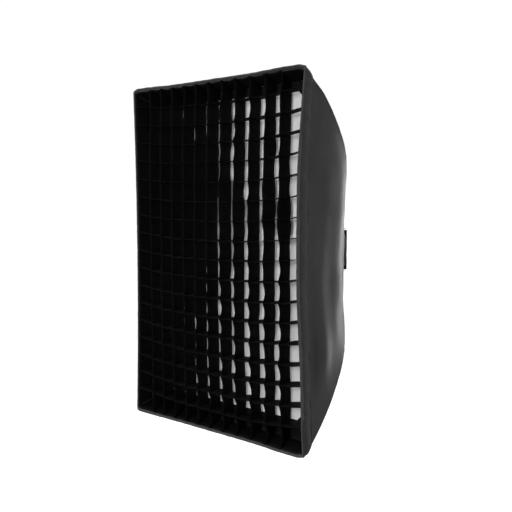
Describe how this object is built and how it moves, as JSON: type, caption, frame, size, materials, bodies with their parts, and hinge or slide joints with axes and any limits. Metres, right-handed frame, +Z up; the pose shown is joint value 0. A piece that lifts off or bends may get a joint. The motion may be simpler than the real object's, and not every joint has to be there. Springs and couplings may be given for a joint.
{
  "type": "rectangular softbox",
  "caption": "Rod-frame softbox with a recessed front diffuser, egg-crate grid and rotating bayonet speed ring, for a studio flash head.",
  "frame": {"origin": "centre of the bayonet seat, on the axis of the speed ring, in the plane of the flange's rear face", "axes": "+Y along the bayonet axis towards the lamp, so the front opening faces -Y; +Z up along the long side of the opening; +X across it"},
  "size_m": [0.6022, 0.5206, 0.9034],
  "materials": {
    "bare_aluminium": "turned",
    "black_metal": "satin black",
    "screw_steel": "zinc plated",
    "socket_metal": "satin",
    "black_plastic": "moulded",
    "rod_steel": "polished",
    "shell_cloth": "coated weave with a soft sheen",
    "lip_cloth": "coated weave",
    "silver_lining": "metallised",
    "binding_tape": "ribbed tape",
    "neck_cloth": "matte",
    "black_webbing": "woven webbing",
    "hook_and_loop": "looped pile",
    "diffuser_cloth": "translucent weave",
    "snap_steel": "pressed",
    "grid_cloth": "matte weave"
  },
  "bodies": {
    "mount_ring": {"bayonet_ring": "bare_aluminium", "retaining_ring": "black_metal", "retainer_screws": "screw_steel"},
    "softbox": {"speed_ring": "black_metal", "rod_socket_top_right": "socket_metal", "rod_socket_top_left": "socket_metal", "rod_socket_bottom_left": "socket_metal", "rod_socket_bottom_right": "socket_metal", "socket_rivets": "screw_steel", "rod_top_right": "rod_steel", "rod_top_left": "rod_steel", "rod_bottom_left": "rod_steel", "rod_bottom_right": "rod_steel", "rod_ferrules": "rod_steel", "rod_tips": "black_plastic", "rod_loops": "black_webbing", "corner_pocket_top_right": "black_webbing", "corner_pocket_top_left": "black_webbing", "corner_pocket_bottom_left": "black_webbing", "corner_pocket_bottom_right": "black_webbing", "shell_right": "shell_cloth", "shell_left": "shell_cloth", "shell_top": "shell_cloth", "shell_bottom": "shell_cloth", "lining_right": "silver_lining", "lining_left": "silver_lining", "lining_top": "silver_lining", "lining_bottom": "silver_lining", "lip_right": "lip_cloth", "lip_left": "lip_cloth", "lip_top": "lip_cloth", "lip_bottom": "lip_cloth", "rim_binding": "binding_tape", "rear_collar": "lip_cloth", "grid_loop_tape": "hook_and_loop", "diffuser_loop_tape": "hook_and_loop", "inner_baffle": "diffuser_cloth", "baffle_binding": "black_webbing", "baffle_elastics": "black_webbing", "baffle_snaps": "snap_steel"},
    "neck_flap_right": {"neck_flap_right": "neck_cloth"},
    "neck_flap_left": {"neck_flap_left": "neck_cloth"},
    "neck_flap_top": {"neck_flap_top": "neck_cloth"},
    "neck_flap_bottom": {"neck_flap_bottom": "neck_cloth"},
    "diffuser": {"front_diffuser": "diffuser_cloth", "diffuser_border": "hook_and_loop"},
    "grid": {"grid_strips_upright": "grid_cloth", "grid_strips_level": "grid_cloth", "grid_border": "grid_cloth"},
    "lock_screw": {"lock_screw": "screw_steel"},
    "lock_knob": {"lock_knob": "black_plastic"}
  },
  "joints": [
    {"name": "swivel", "type": "hinge", "parent": "mount_ring", "child": "softbox", "pos_m": [0, 0, 0], "axis": [0, 1, 0], "continuous": true},
    {"name": "neck_flap_right_fold", "type": "hinge", "parent": "softbox", "child": "neck_flap_right", "pos_m": [0.0614, -0.0002, 0], "axis": [0, 0, -1], "range_deg": [0, 90]},
    {"name": "neck_flap_left_fold", "type": "hinge", "parent": "softbox", "child": "neck_flap_left", "pos_m": [-0.0614, -0.0002, 0], "axis": [0, 0, 1], "range_deg": [0, 90]},
    {"name": "neck_flap_top_fold", "type": "hinge", "parent": "softbox", "child": "neck_flap_top", "pos_m": [0, -0.0002, 0.0614], "axis": [1, 0, 0], "range_deg": [0, 90]},
    {"name": "neck_flap_bottom_fold", "type": "hinge", "parent": "softbox", "child": "neck_flap_bottom", "pos_m": [0, -0.0002, -0.0614], "axis": [-1, 0, 0], "range_deg": [0, 90]},
    {"name": "diffuser_pull", "type": "slide", "parent": "softbox", "child": "diffuser", "axis": [0, -1, 0], "range_m": [0, 0.12]},
    {"name": "grid_pull", "type": "slide", "parent": "diffuser", "child": "grid", "axis": [0, -1, 0], "range_m": [0, 0.12]},
    {"name": "lock_travel", "type": "slide", "parent": "softbox", "child": "lock_screw", "axis": [0, 0, -1], "range_m": [0, 0.003]},
    {"name": "lock_turn", "type": "hinge", "parent": "lock_screw", "child": "lock_knob", "pos_m": [0, -0.0185, 0], "axis": [0, 0, -1], "range_deg": [0, 1081]}
  ],
  "couplings": [
    {"joint": "lock_turn", "follows": "lock_travel", "rad_per_m": 6283.2}
  ]
}
